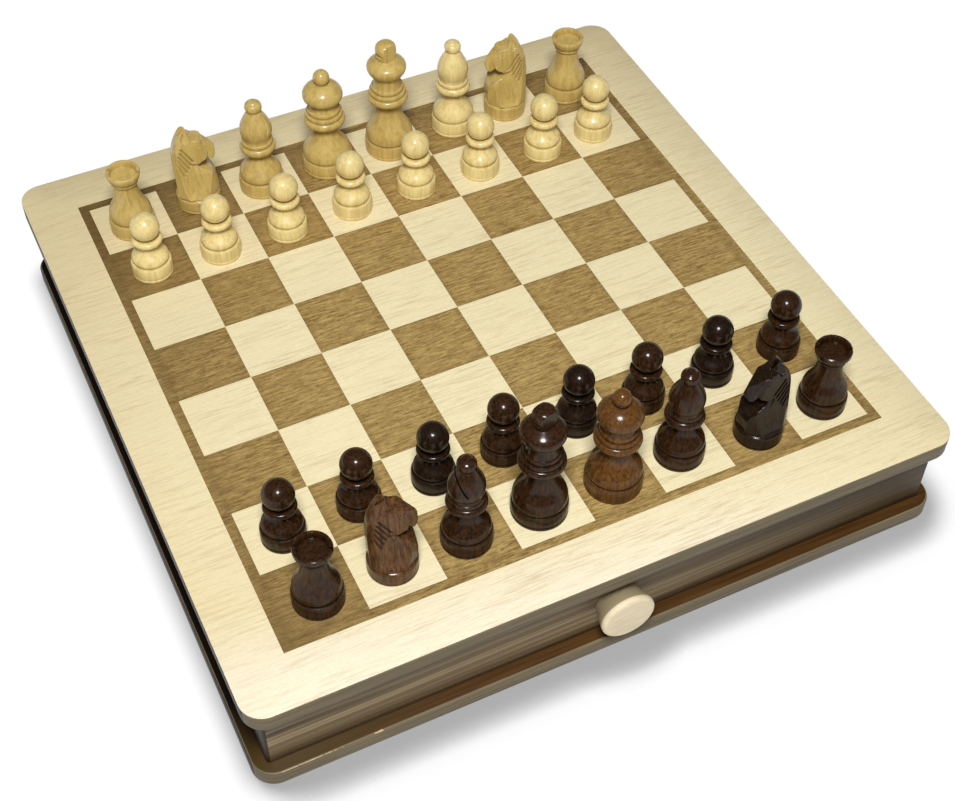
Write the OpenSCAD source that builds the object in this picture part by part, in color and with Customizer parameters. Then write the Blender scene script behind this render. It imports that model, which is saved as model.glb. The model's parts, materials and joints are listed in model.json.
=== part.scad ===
// Chess box: a playing board on top of a shallow case with a drawer at the front and one at the
// rear, and the thirty-two turned and carved men that stand on it.
// Millimetres. The origin is the middle of the underside, +Z is up, the front drawer opens to -Y.

/* [Board] */
// Side of one square of the playing field
square = 31; // [28:0.5:42]
// Plain border from the playing field to the edge of the board
border = 26; // [20:0.5:40]
// Radius of the four corners of the top and bottom boards
corner_r = 9.5; // [6:0.5:20]
// Width of the stained line round the playing field
frame_line_w = 4; // [2:0.5:6]
// Pale line left between the corners of two stained squares
square_gap = 0.1; // [0.06:0.02:0.3]
// Thickness of the face veneer
veneer_t = 0.8; // [0.6:0.1:1.5]
// How deep the stain lies in the veneer
stain_t = 0.3; // [0.2:0.05:0.4]
// Thickness of the top board under its veneer
core_t = 8.2; // [6:0.1:14]
// Rounding of the boards' lower and outer edges
edge_ease = 1; // [0.4:0.1:2]

/* [Case] */
// Thickness of the bottom board
bottom_t = 8; // [5:0.5:14]
// Height of the storey that holds the drawers
storey_h = 32; // [30:0.5:60]
// Distance from the boards' edges in to the case walls and drawer fronts
case_inset = 5.5; // [3:0.5:12]
// Thickness of the two side walls
side_wall_t = 9; // [6:0.5:14]
// Thickness of the wall between the two drawers
centre_wall_t = 8; // [5:0.5:14]

/* [Drawers] */
// Thickness of a drawer front
front_t = 10; // [8:0.5:14]
// Gap above a drawer front
front_top_gap = 0.4; // [0.3:0.1:1]
// Gap below a drawer front
front_foot_gap = 0.9; // [0.4:0.1:1.5]
// Rounding of a drawer front's two upright edges
front_round = 1.5; // [0.5:0.1:3]
// Height of a drawer's sides
drawer_side_h = 28; // [22:0.5:29]
// Thickness of a drawer's sides and back
drawer_wall_t = 7; // [5:0.5:10]
// Thickness of a drawer's bottom panel
panel_t = 3; // [2:0.5:4]
// Depth of the grooves that hold the bottom panel
groove_d = 3.5; // [2:0.5:4.5]
// Height of the grooves above a drawer's lower edge
groove_z = 3.5; // [2:0.5:5]
// Running gap between a drawer and the case, at each side and below
running_gap = 0.3; // [0.2:0.05:0.8]
// Space left behind a closed drawer
rear_space = 1; // [0.5:0.25:4]

/* [Knobs] */
// Diameter of a knob's flat outer face
knob_face_d = 22.6; // [16:0.2:28]
// Diameter of a knob where it meets the drawer front
knob_root_d = 18.4; // [12:0.2:24]
// How far a knob stands out from the drawer front
knob_l = 10.2; // [8:0.2:20]
// Rounding of a knob's rim
knob_round = 1.6; // [0.8:0.1:2.5]
// Diameter of the screw that holds a knob
screw_d = 4; // [3:0.25:5]
// Diameter of the screw's head
screw_head_d = 8; // [6:0.5:9]
// How far the screw goes into the knob
screw_in_knob = 6.5; // [4:0.5:7]
// Space round the screw in its hole through the drawer front
screw_hole_gap = 0.2; // [0.1:0.05:0.4]

/* [Men] */
// Height of the round plinth under every man
plinth_h = 7.4; // [5:0.2:9]
// Height of the fine line turned near the foot of a plinth
foot_line_z = 1.7; // [1.2:0.1:3]
// Depth of the groove between a plinth and the body above it
plinth_groove_d = 0.7; // [0.3:0.1:1]

/* [Pawn] */
// Diameter of a pawn's plinth
pawn_base_d = 17.6; // [15:0.2:20]
// Diameter of a pawn's body
pawn_body_d = 16; // [13:0.2:17]
// Height of a pawn's body up to its collar
pawn_body_h = 10; // [7:0.2:13]
// Diameter of a pawn's neck
pawn_neck_d = 7.6; // [5:0.2:9]
// Diameter of a pawn's collar
pawn_collar_d = 13.2; // [10:0.2:15]
// Diameter of a pawn's ball head
pawn_head_d = 12.6; // [10:0.2:15]

/* [Rook] */
// Diameter of a rook's plinth
rook_base_d = 19.8; // [17:0.2:23]
// Diameter of a rook's body
rook_body_d = 18.6; // [15:0.2:19]
// Height of a rook's body up to its ring
rook_body_h = 19.2; // [14:0.2:24]
// Diameter of a rook's neck
rook_neck_d = 9.8; // [8:0.2:11]
// Diameter of a rook's tower at its rim
rook_head_d = 14.9; // [12:0.2:18]
// Height of a rook's tower
rook_head_h = 4.8; // [4:0.2:9]
// Thickness of the rook's rim
rook_rim_t = 1.7; // [1.2:0.1:2.5]
// Depth of the hollow in a rook's tower
rook_hollow_d = 2.4; // [1.5:0.1:3]

/* [Knight] */
// Diameter of a knight's plinth
knight_base_d = 19.6; // [17:0.2:22]
// Height of a knight above its plinth, to the tips of its ears
knight_h = 34.6; // [26:0.2:38]
// Width of a knight's head across the cheeks
knight_cheek_w = 9.2; // [8:0.2:11]
// Width of the cuts in a knight's mane
mane_cut_w = 0.9; // [0.5:0.1:1.2]
// Depth of the cuts in a knight's mane
mane_cut_d = 0.9; // [0.3:0.1:1.2]
// How far a knight's muzzle is set in from its cheeks
muzzle_in = 1.7; // [0.6:0.1:2]
// How far a knight's throat is cut in below its cheek
throat_in = 1.3; // [0.4:0.1:2]
// Half the width of the gap between a knight's ears, at the top
ear_gap_w = 1.5; // [1:0.1:2.4]
// Radius of the hollow gouged in the outside of each ear
ear_gouge_r = 1.8; // [1:0.1:2.4]
// Cuts on each side of a knight's mane
mane_cuts = 5; // [3:1:6]

/* [Bishop] */
// Diameter of a bishop's plinth
bishop_base_d = 20.2; // [17:0.2:23]
// Diameter of a bishop's body
bishop_body_d = 19; // [16:0.2:20]
// Height of a bishop's body up to its collar
bishop_body_h = 14.5; // [11:0.2:20]
// Diameter of a bishop's neck
bishop_neck_d = 8.6; // [7:0.2:10]
// Diameter of a bishop's collar
bishop_collar_d = 16; // [13:0.2:18]
// Diameter of a bishop's mitre
bishop_head_d = 14.2; // [11:0.2:15]
// Height of a bishop's mitre
bishop_head_h = 15.2; // [11:0.2:18]
// Diameter of the bishop's button
bishop_button_d = 7.6; // [5:0.2:9]
// Width of the saw cut in a bishop's mitre
mitre_cut_w = 0.7; // [0.4:0.1:1.4]

/* [Queen] */
// Diameter of a queen's plinth
queen_base_d = 23; // [20:0.2:26]
// Diameter of a queen's body
queen_body_d = 22; // [19:0.2:24]
// Height of a queen's body up to her collar
queen_body_h = 18.3; // [14:0.2:24]
// Diameter of a queen's neck
queen_neck_d = 10.4; // [8:0.2:12]
// Diameter of a queen's collar
queen_collar_d = 18.8; // [16:0.2:21]
// Height of the short neck between a queen's collar and her head
queen_throat_h = 4.4; // [3:0.2:7]
// Diameter of a queen's head
queen_head_d = 18; // [15:0.2:19]
// Height of a queen's head
queen_head_h = 8.4; // [6:0.2:10]
// Diameter of the queen's ball
queen_ball_d = 7.4; // [5:0.2:9]

/* [King] */
// Diameter of a king's plinth
king_base_d = 22.4; // [20:0.2:26]
// Diameter of a king's body
king_body_d = 21.6; // [18:0.2:22]
// Height of a king's body up to his collar
king_body_h = 21; // [16:0.2:27]
// Diameter of a king's neck
king_neck_d = 10.2; // [8:0.2:12]
// Diameter of a king's collar
king_collar_d = 18.6; // [16:0.2:21]
// Height of the short neck between a king's collar and his head
king_throat_h = 6.6; // [4:0.2:9]
// Diameter of a king's head
king_head_d = 17.8; // [15:0.2:19]
// Height of a king's head
king_head_h = 7.6; // [6:0.2:10]
// Diameter of the king's button
king_button_d = 9.4; // [7:0.2:11]
// Height of the king's button
king_button_h = 8.4; // [6:0.2:11]

/* [Hidden] */
$fn = 64;
small = 0.01;

// Names, left to right as seen from the front
DARK_BACK = ["dark_rook_left", "dark_knight_left", "dark_bishop_left", "dark_king",
             "dark_queen", "dark_bishop_right", "dark_knight_right", "dark_rook_right"];
PALE_BACK = ["pale_rook_left", "pale_knight_left", "pale_bishop_left", "pale_queen",
             "pale_king", "pale_bishop_right", "pale_knight_right", "pale_rook_right"];
DRAWER_PIECES = ["front", "left_side", "right_side", "back", "bottom", "knob", "knob_screw"];

// Board and case
field = 8 * square;
board_w = field + 2 * border;
case_w = board_w - 2 * case_inset;
storey_z = bottom_t;
ceiling_z = storey_z + storey_h;
core_top_z = ceiling_z + core_t;
field_z = core_top_z + veneer_t;

// Drawers: each front laps over the ends of the side walls
front_y = -case_w / 2;
front_back_y = front_y + front_t;
wall_l = 2 * -front_back_y - 2 * running_gap;
bay_w = case_w - 2 * side_wall_t;
drawer_w = bay_w - 2 * running_gap;
drawer_z = storey_z + running_gap;
drawer_end_y = -centre_wall_t / 2 - rear_space;
drawer_l = drawer_end_y - front_back_y;
front_z = storey_z + front_foot_gap;
front_h = storey_h - front_foot_gap - front_top_gap;
inner_w = drawer_w - 2 * drawer_wall_t;
panel_gap = 0.1;
panel_z = drawer_z + groove_z + panel_gap;
panel_w = inner_w + 2 * (groove_d - panel_gap);
knob_z = storey_z + storey_h / 2;
screw_head_t = 2.4;
screw_l = front_t - screw_head_t + screw_in_knob;

// Turning
ring_h = 2.2;
ease = 0.5;
line_w = 0.5;
line_d = 0.3;
groove_w = 0.5;

WALNUT = "#6e5a46";
BIRCH = "#e3d3a8";
STAIN = "#8a6f42";
EDGE = "#6a6151";
MAHOGANY = "#4f331c";
MAPLE = "#e6dcc6";
STEEL = "#b9b9b4";
SHEESHAM = "#3a2418";
BOXWOOD = "#d9c288";

// ---- boards ------------------------------------------------------------------------------

// A rounded rectangle about the origin
module rounded_sheet(w, r) {
    square([w, w - 2 * r], center = true);
    square([w - 2 * r, w], center = true);
    for (x = [-1, 1], y = [-1, 1]) translate([x, y] * (w / 2 - r)) circle(r);
}

// Half of a board's cross-section from its middle out to reach, with eased edges
function edge_points(reach, t, low_ease, high_ease) =
    [[0, 0], [reach - low_ease, 0], [reach - low_ease * 0.3, low_ease * 0.3],
     [reach, low_ease], [reach, t - high_ease], [reach - high_ease * 0.3, t - high_ease * 0.3],
     [reach - high_ease, t], [0, t]];

module eased_section(reach, t, low_ease, high_ease) {
    polygon(edge_points(reach, t, low_ease, high_ease));
    mirror([1, 0]) polygon(edge_points(reach, t, low_ease, high_ease));
}

// A square board with round corners and eased edges, standing on z = 0
module board(w, t, r, low_ease, high_ease) {
    for (turn = [0, 90])
        rotate([90, 0, turn])
            linear_extrude(w - 2 * r, center = true) eased_section(w / 2, t, low_ease, high_ease);
    for (x = [-1, 1], y = [-1, 1])
        translate([x, y, 0] * (w / 2 - r))
            rotate_extrude() polygon(edge_points(r, t, low_ease, high_ease));
}

module bottom_board() {
    color(MAHOGANY) board(board_w, bottom_t, corner_r, edge_ease, edge_ease);
}

module side_wall(side) {
    color(WALNUT)
        translate([side * (case_w - side_wall_t) / 2, 0, storey_z + storey_h / 2])
            cube([side_wall_t, wall_l, storey_h], center = true);
}

module centre_wall() {
    color(WALNUT)
        translate([0, 0, storey_z + storey_h / 2])
            cube([bay_w, centre_wall_t, storey_h], center = true);
}

module top_board() {
    color(EDGE)
        translate([0, 0, ceiling_z]) board(board_w, core_t, corner_r, edge_ease, small);
}

// The stain, seen from above: the dark squares and the line round the field
module stain_outline() {
    tile = square - square_gap;
    for (i = [0:7], j = [0:7])
        if ((i + j) % 2 == 0)
            translate([i - 3.5, j - 3.5] * square) square(tile, center = true);
    difference() {
        square(field + 2 * frame_line_w, center = true);
        square(field - 2 * square_gap, center = true);
    }
}

module stained_squares() {
    color(STAIN)
        translate([0, 0, field_z - stain_t]) linear_extrude(stain_t) stain_outline();
}

module face_veneer() {
    color(BIRCH)
        difference() {
            translate([0, 0, core_top_z]) linear_extrude(veneer_t) rounded_sheet(board_w, corner_r);
            translate([0, 0, field_z - stain_t]) linear_extrude(2 * stain_t) stain_outline();
        }
}

// ---- drawers, drawn for the front; the rear one is turned half round -----------------------

// A drawer front with round upright edges and a hole for the knob's screw
module drawer_front() {
    color(WALNUT)
        difference() {
            translate([0, 0, front_z]) linear_extrude(front_h) {
                translate([-case_w / 2, front_y + front_round])
                    square([case_w, front_t - front_round]);
                translate([-case_w / 2 + front_round, front_y])
                    square([case_w - 2 * front_round, front_t]);
                for (side = [-1, 1])
                    translate([side * (case_w / 2 - front_round), front_y + front_round])
                        circle(front_round);
            }
            translate([0, front_y, knob_z]) rotate([-90, 0, 0]) {
                translate([0, 0, -1]) cylinder(h = front_t + 2, d = screw_d + 2 * screw_hole_gap);
                translate([0, 0, front_t - screw_head_t])
                    cylinder(h = screw_head_t + 1, d = screw_head_d + 2 * screw_hole_gap);
            }
            translate([-inner_w / 2 - groove_d, front_back_y - groove_d, drawer_z + groove_z])
                cube([inner_w + 2 * groove_d, 2 * groove_d, panel_t + 2 * panel_gap]);
        }
}

module drawer_side(side) {
    color(BIRCH)
        translate([0, front_back_y, drawer_z])
            difference() {
                translate([side > 0 ? inner_w / 2 : -drawer_w / 2, 0, 0])
                    cube([drawer_wall_t, drawer_l, drawer_side_h]);
                translate([-inner_w / 2 - groove_d, -1, groove_z])
                    cube([inner_w + 2 * groove_d, drawer_l + 2, panel_t + 2 * panel_gap]);
            }
}

module drawer_back() {
    color(BIRCH)
        translate([-inner_w / 2, drawer_end_y - drawer_wall_t, panel_z + panel_t])
            cube([inner_w, drawer_wall_t, drawer_z + drawer_side_h - panel_z - panel_t]);
}

module drawer_bottom() {
    color(BIRCH)
        translate([-panel_w / 2, front_back_y - groove_d + panel_gap, panel_z])
            cube([panel_w, drawer_l + groove_d - panel_gap, panel_t]);
}

// A turned knob, wider at its flat face, with a blind hole for the screw
module knob() {
    face_r = knob_face_d / 2;
    color(MAPLE)
        translate([0, front_y, knob_z]) rotate([90, 0, 0]) difference() {
            rotate_extrude() polygon(concat(
                [[0, 0], [knob_root_d / 2, 0]],
                sweep([knob_root_d / 2, 0], [knob_root_d / 2, knob_l * 0.3],
                      [face_r, knob_l * 0.5], [face_r, knob_l - knob_round], 8),
                [for (a = [15:15:90])
                    [face_r - knob_round * (1 - cos(a)), knob_l - knob_round * (1 - sin(a))]],
                [[0, knob_l]]));
            translate([0, 0, -1]) cylinder(h = screw_in_knob + 1.5, d = screw_d);
        }
}

module knob_screw() {
    color(STEEL)
        translate([0, front_back_y, knob_z]) rotate([90, 0, 0]) {
            cylinder(h = screw_head_t, d = screw_head_d);
            cylinder(h = screw_head_t + screw_l, d = screw_d);
        }
}

module drawer_piece(name) {
    if (name == "front") drawer_front();
    if (name == "left_side") drawer_side(-1);
    if (name == "right_side") drawer_side(1);
    if (name == "back") drawer_back();
    if (name == "bottom") drawer_bottom();
    if (name == "knob") knob();
    if (name == "knob_screw") knob_screw();
}

// ---- turned men --------------------------------------------------------------------------

// Points after a on a curve from a to d, which leaves towards b and arrives from c
function sweep(a, b, c, d, n) =
    [for (k = [1:n]) let (t = k / n, s = 1 - t)
        s * s * s * a + 3 * s * s * t * b + 3 * s * t * t * c + t * t * t * d];

// A bead turned between two heights, standing out to radius r from a valley of depth d
function bead(r, z0, z1, d, n = 8) =
    [for (k = [0:n]) let (a = 180 * k / n)
        [r - d + d * sin(a), (z0 + z1) / 2 - (z1 - z0) / 2 * cos(a)]];

// A collar of a wide bead with two smaller rings stepped in above it
function collar(r, z, bead_h, rings) =
    concat(bead(r, z, z + bead_h, bead_h * 0.45),
           [for (k = [1:rings]) for (p = bead(r - 0.95 * k, z + bead_h + ring_h * (k - 1),
                                              z + bead_h + ring_h * k, 0.6, 6)) p]);

// Plinth, groove and bell-shaped body, up to the neck
function stem(base_d, body_d, neck_d, body_h) =
    let (base = base_d / 2, body = body_d / 2, neck = neck_d / 2,
         shoulder_z = plinth_h + groove_w + 1.1, top_z = plinth_h + body_h,
         rise = top_z - shoulder_z)
    concat(
        [[0, 0], [base - ease, 0], [base, ease], [base, foot_line_z - line_w],
         [base - line_d, foot_line_z], [base, foot_line_z + line_w], [base, plinth_h - 2 * ease],
         [base - ease * 0.6, plinth_h - ease * 0.6], [base - 2 * ease, plinth_h],
         [body - plinth_groove_d, plinth_h], [body - plinth_groove_d, plinth_h + groove_w]],
        sweep([body - plinth_groove_d, plinth_h + groove_w], [body - 0.3, plinth_h + groove_w],
              [body, shoulder_z - 0.7], [body, shoulder_z], 3),
        sweep([body, shoulder_z], [body, shoulder_z + rise * 0.34],
              [neck + 0.2, shoulder_z + rise * 0.32], [neck, top_z], 10));

module turned(points) rotate_extrude() polygon(points);

module pawn() {
    collar_h = 2.8;
    collar_z = plinth_h + pawn_body_h;
    head_r = pawn_head_d / 2;
    head_z = collar_z + collar_h + head_r * 0.86;
    seat = -60;
    turned(concat(
        stem(pawn_base_d, pawn_body_d, pawn_neck_d, pawn_body_h),
        bead(pawn_collar_d / 2, collar_z, collar_z + collar_h, collar_h * 0.45),
        [for (a = [seat:10:90]) [head_r * cos(a), head_z + head_r * sin(a)]]));
}

module rook(turn) {
    ring_z = plinth_h + rook_body_h;
    tower_z = ring_z + 1.4;
    rim_z = tower_z + rook_head_h;
    rim = rook_head_d / 2;
    cut_w = 1.3;
    rotate(turn) difference() {
        turned(concat(
            stem(rook_base_d, rook_body_d, rook_neck_d, rook_body_h),
            bead(rook_neck_d / 2 + 1.1, ring_z, tower_z, 0.6, 6),
            sweep([rim - 1.8, tower_z], [rim - 1, tower_z + 0.2],
                  [rim, rim_z - 2.6], [rim, rim_z - 1], 6),
            [[rim - 0.25, rim_z - 0.3], [rim - 0.7, rim_z], [rim - rook_rim_t + 0.3, rim_z],
             [rim - rook_rim_t, rim_z - 0.4], [rim - rook_rim_t - 0.3, rim_z - rook_hollow_d],
             [0, rim_z - rook_hollow_d]]));
        translate([0, 0, rim_z])
            cube([rook_head_d + 2, cut_w, 2 * (rook_hollow_d - 0.6)], center = true);
    }
}

// A mitre's saw cut starts beside the button, start from the axis, slants by lean degrees and
// ends cut_l down, its end tipped by tip degrees
module bishop(turn, start, lean, cut_l, tip) {
    collar_h = 3.9;
    collar_z = plinth_h + bishop_body_h;
    head_z = collar_z + collar_h + ring_h;
    head = bishop_head_d / 2;
    button_z = head_z + bishop_head_h;
    button_h = bishop_button_d * 0.68;
    rotate(turn) difference() {
        turned(concat(
            stem(bishop_base_d, bishop_body_d, bishop_neck_d, bishop_body_h),
            collar(bishop_collar_d / 2, collar_z, collar_h, 1),
            sweep([head - 1.4, head_z], [head, head_z + bishop_head_h * 0.16],
                  [head + 0.1, head_z + bishop_head_h * 0.3],
                  [head, head_z + bishop_head_h * 0.4], 5),
            sweep([head, head_z + bishop_head_h * 0.4], [head - 0.3, head_z + bishop_head_h * 0.62],
                  [bishop_button_d * 0.5, button_z - 1.6], [bishop_button_d * 0.4, button_z], 8),
            bead(bishop_button_d / 2, button_z, button_z + button_h * 0.8, bishop_button_d * 0.16),
            [[bishop_button_d * 0.22, button_z + button_h * 0.95], [0, button_z + button_h]]));
        translate([start, 0, button_z - 0.8]) rotate([-tip, -lean, 0])
            translate([-mitre_cut_w / 2, -bishop_head_d, -cut_l])
                cube([mitre_cut_w, 2 * bishop_head_d, cut_l]);
    }
}

module queen() {
    collar_h = 3.8;
    collar_z = plinth_h + queen_body_h;
    throat_z = collar_z + collar_h + 2 * ring_h;
    throat = queen_collar_d / 2 - 2.7;
    head_z = throat_z + queen_throat_h;
    head = queen_head_d / 2;
    ball = queen_ball_d / 2;
    top_z = head_z + queen_head_h;
    ball_z = top_z + ball * 0.8;
    seat = -52;
    turned(concat(
        stem(queen_base_d, queen_body_d, queen_neck_d, queen_body_h),
        collar(queen_collar_d / 2, collar_z, collar_h, 2),
        [[throat, throat_z]],
        sweep([throat, throat_z], [throat - 0.5, throat_z + 1], [throat - 0.5, head_z - 1],
              [throat, head_z], 5),
        [[head - 1.4, head_z], [head - 0.9, head_z + 0.3]],
        sweep([head - 0.9, head_z + 0.3], [head - 0.2, head_z + 0.9], [head, head_z + 1.8],
              [head, head_z + 2.6], 4),
        sweep([head, head_z + 2.6], [head, head_z + 5.2], [ball + 2.4, top_z - 0.6],
              [ball * cos(seat), ball_z + ball * sin(seat)], 8),
        [for (a = [seat + 14.2:14.2:89]) [ball * cos(a), ball_z + ball * sin(a)]],
        [[0, ball_z + ball]]));
}

module king(turn) {
    collar_h = 3.8;
    collar_z = plinth_h + king_body_h;
    throat_z = collar_z + collar_h + 2 * ring_h;
    throat = king_collar_d / 2 - 2.7;
    head_z = throat_z + king_throat_h;
    head = king_head_d / 2;
    button = king_button_d / 2;
    button_z = head_z + king_head_h;
    top_z = button_z + king_button_h;
    cheek = king_button_d * 0.34;
    rotate(turn) difference() {
        turned(concat(
            stem(king_base_d, king_body_d, king_neck_d, king_body_h),
            collar(king_collar_d / 2, collar_z, collar_h, 2),
            [[throat, throat_z]],
            sweep([throat, throat_z], [throat - 0.6, throat_z + 1.5], [throat - 0.6, head_z - 1.5],
                  [throat, head_z], 5),
            [[head - 1.5, head_z], [head - 1.1, head_z + 0.3]],
            sweep([head - 1.1, head_z + 0.3], [head - 0.3, head_z + 1.5], [head, head_z + 2.4],
                  [head, head_z + 3.4], 4),
            sweep([head, head_z + 3.4], [head, head_z + 5.6], [button + 1, button_z - 0.9],
                  [button - 0.6, button_z], 7),
            sweep([button - 0.6, button_z], [button, button_z + king_button_h * 0.3],
                  [button, button_z + king_button_h * 0.45],
                  [button, button_z + king_button_h * 0.6], 3),
            sweep([button, button_z + king_button_h * 0.6], [button, top_z - king_button_h * 0.1],
                  [button * 0.6, top_z], [0, top_z], 7)));
        for (side = [-1, 1]) {
            translate([-button - 1, side * cheek - (side < 0 ? 4 : 0), button_z + 0.2])
                cube([2 * button + 2, 4, king_button_h + 1]);
            translate([side * (button + 0.5), 0, button_z + king_button_h * 0.34])
                rotate([0, 45, 0]) cube([2.6, 2 * button, 2.6], center = true);
        }
    }
}

// ---- knights -----------------------------------------------------------------------------

// The horse is drawn facing +X, this high above its groove and with this radius at its foot,
// and takes its real size from the knight's own sizes
drawn_h = 34.6;
drawn_r = 9.3;
foot_r = knight_base_d / 2 - 0.5;
cheek = knight_cheek_w / 2;
function sized(p) = [p[0] * foot_r / drawn_r, p[1] * knight_h / drawn_h];
function between(a, b, t) = a + (b - a) * t;

// Side outline: x forward, y up
function horse_outline() = [for (p = concat(
    [[-8.8, 0], [8.8, 0]],
    sweep([8.8, 0], [9.8, 4.5], [9.9, 9.5], [6, 12.8], 6),
    sweep([6, 12.8], [4, 14.2], [1.2, 14.2], [1.4, 16.6], 4),
    [[3, 17.8], [4.8, 18.8], [5.6, 19.3], [8.4, 17.7], [9.2, 17.9], [9.7, 18.8], [10, 20.2],
     [9.9, 23], [9.2, 24.5], [5.4, 27.5], [4.3, 28.9], [0.6, 29.5], [-0.4, 30.4]],
    sweep([-0.4, 30.4], [-1, 31.2], [-1.5, 33], [-1.8, 34.6], 4),
    sweep([-1.8, 34.6], [-4.8, 33], [-9.4, 27], [-9.3, 16], 12),
    sweep([-9.3, 16], [-9.3, 11], [-9, 6], [-8.8, 0], 3))) sized(p)];

// Half widths from the foot up: both sides of the round blank are sawn flat
horse_flats = [[4.4, 0], [3.5, 1.5], [2.7, 3.5], [1.9, 6.5], [1.2, 10], [0.5, 15], [0.1, 20],
               [-0.3, 27], [-0.8, 30], [-2.2, 35]];

// What is left between the two flats when each is cut deeper by depth
module between_flats(depth) {
    half = [for (p = horse_flats) [cheek + p[0] - depth, sized(p)[1]]];
    other = [for (k = [len(half) - 1:-1:0]) [-half[k][0], half[k][1]]];
    rotate([90, 0, 90]) linear_extrude(4 * foot_r, center = true) polygon(concat(half, other));
}

// A shape drawn in side view and carved into both flats to a depth
module carve(depth) difference() {
    rotate([90, 0, 0]) linear_extrude(4 * foot_r, center = true) children();
    between_flats(depth);
}

// A straight strip from a to b in side view
module strip(a, b, w)
    translate(a) rotate(atan2(b[1] - a[1], b[0] - a[0])) translate([0, -w / 2])
        square([norm(b - a), w]);

// One long knife cut on each side, flat, past a point on the right-hand side, whose face turns
// away from straight ahead by turn and up by rise
module facets(point, turn, rise)
    for (side = [-1, 1])
        translate([sized(point)[0], side * point[2], sized(point)[1]])
            rotate([0, -rise, side * turn]) translate([0, -knight_h, -knight_h])
                cube([knight_h, 2 * knight_h, 2 * knight_h]);

// The gap between the ears, wedge-shaped and cut from the crest
module ear_gap() {
    top = sized([0, 35])[1];
    foot = sized([0, 29])[1];
    translate([-5.2, 0, 0]) rotate([90, 0, 90]) linear_extrude(9)
        polygon([[0, foot], [ear_gap_w, top], [-ear_gap_w, top]]);
}

// Knife cuts down the back, the crest and the nose: point, turn and rise of each
KNIFE_CUTS = [[[-8.4, 20, 3.2], 130, 5], [[-8, 26.5, 2.4], 124, 14], [[7.4, 24, 2], 52, 12]];

module horse() {
    jaw = sized([1.2, 22.6]);
    jaw_r = 5.4;
    throat_z = sized([0, 12])[1];
    throat_top_z = sized([0, 19])[1];
    eye = sized([3.4, 27.2]);
    eye_r = 1.5;
    eye_line = 0.35;
    ear_root = sized([-3.3, 29.4]);
    difference() {
        intersection() {
            rotate([90, 0, 0]) linear_extrude(4 * foot_r, center = true) polygon(horse_outline());
            between_flats(0);
            cylinder(h = knight_h, r = foot_r + 0.8);
        }
        // muzzle set in before the round cheek
        carve(muzzle_in) difference() {
            translate(sized([4.8, 17])) square(sized([8, 13]));
            translate(jaw) circle(jaw_r);
        }
        // throat, cut in on a slant from the chest up to the cheek
        intersection() {
            rotate([90, 0, 0]) linear_extrude(4 * foot_r, center = true) difference() {
                polygon([for (p = [[-1.5, 18], [1.5, 11], [12, 11], [12, 19]]) sized(p)]);
                translate(jaw) circle(jaw_r);
            }
            for (side = [-1, 1]) scale([1, side, 1]) rotate([90, 0, 90])
                linear_extrude(4 * foot_r, center = true)
                    polygon([[cheek + 0.9, throat_z], [cheek - throat_in, throat_top_z],
                             [2 * foot_r, throat_top_z], [2 * foot_r, throat_z]]);
        }
        // ringed eye
        carve(eye_line) translate(eye) difference() {
            circle(eye_r);
            circle(eye_r * 0.64);
        }
        carve(2 * eye_line) translate(eye) circle(eye_line);
        // ears, hollowed outside and parted by a wedge
        ear_gap();
        for (side = [-1, 1])
            translate([ear_root[0], side * (cheek + 0.4), ear_root[1]]) rotate([side * 20, 24, 0])
                cylinder(h = 8, r = ear_gouge_r);
        // mane, slanting cuts down from the crest
        carve(mane_cut_d) for (k = [0:mane_cuts - 1])
            strip(sized(between([-5, 26.3], [-7.8, 18.6], k / (mane_cuts - 1))),
                  sized(between([-0.2, 18.6], [-4.6, 11.6], k / (mane_cuts - 1))), mane_cut_w);
        // corners taken off the chest, the back of the neck, the crest and the nose
        for (side = [-1, 1])
            rotate([0, 0, side * 44]) translate([foot_r + 1.6, 0, 0])
                cube([4, 9, 2 * sized([0, 12.6])[1]], center = true);
        for (cut = KNIFE_CUTS) facets(cut[0], cut[1], cut[2]);
    }
}

module knight(turn) {
    base = knight_base_d / 2;
    rotate(turn) {
        turned([[0, 0], [base - ease, 0], [base, ease], [base, foot_line_z - line_w],
                [base - line_d, foot_line_z], [base, foot_line_z + line_w],
                [base, plinth_h - 2 * ease], [base - ease * 0.6, plinth_h - ease * 0.6],
                [base - 2 * ease, plinth_h], [foot_r - plinth_groove_d, plinth_h],
                [foot_r - plinth_groove_d, plinth_h + groove_w + small],
                [foot_r - 2 * plinth_groove_d, plinth_h + 2 * groove_w],
                [0, plinth_h + 2 * groove_w]]);
        translate([0, 0, plinth_h + groove_w]) horse();
    }
}

// ---- men on the board ----------------------------------------------------------------------

// How far each man stands off the middle of its square
DARK_OFF = [[0.3, -3.2], [-0.3, -1.3], [-1.3, -1.8], [-1.3, -1], [-0.6, -1.7], [-1.4, -0.2],
            [1.1, -4.6], [1.6, -2.1]];
DARK_PAWN_OFF = [[-0.9, -2.4], [-0.8, -1.5], [-0.8, -2], [-1.7, -0.9], [0.2, -0.3], [-0.9, -1.2],
                 [0.6, -0.7], [1.8, -0.4]];
PALE_PAWN_OFF = [[-1.2, -1.5], [-1.7, -3.4], [-1.5, -3.3], [-1, -2], [-0.6, -1.9], [0, -2.6],
                 [0.8, -3.3], [-2.5, -1.2]];
PALE_OFF = [[-0.4, -2.7], [0.6, 1], [-1.1, -1.3], [0.3, -0.5], [0, -1.2], [2.2, 0.3],
            [-1.7, 0.5], [-0.8, -0.5]];

// Turns of the men whose heads are not round, counted from facing the right-hand side
BUTTON_TURN = 12;
ROOK_TURN = -30;
KNIGHT_TURN = ["dark_knight_left", -12, "dark_knight_right", 180,
               "pale_knight_left", -10, "pale_knight_right", 170];
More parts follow.
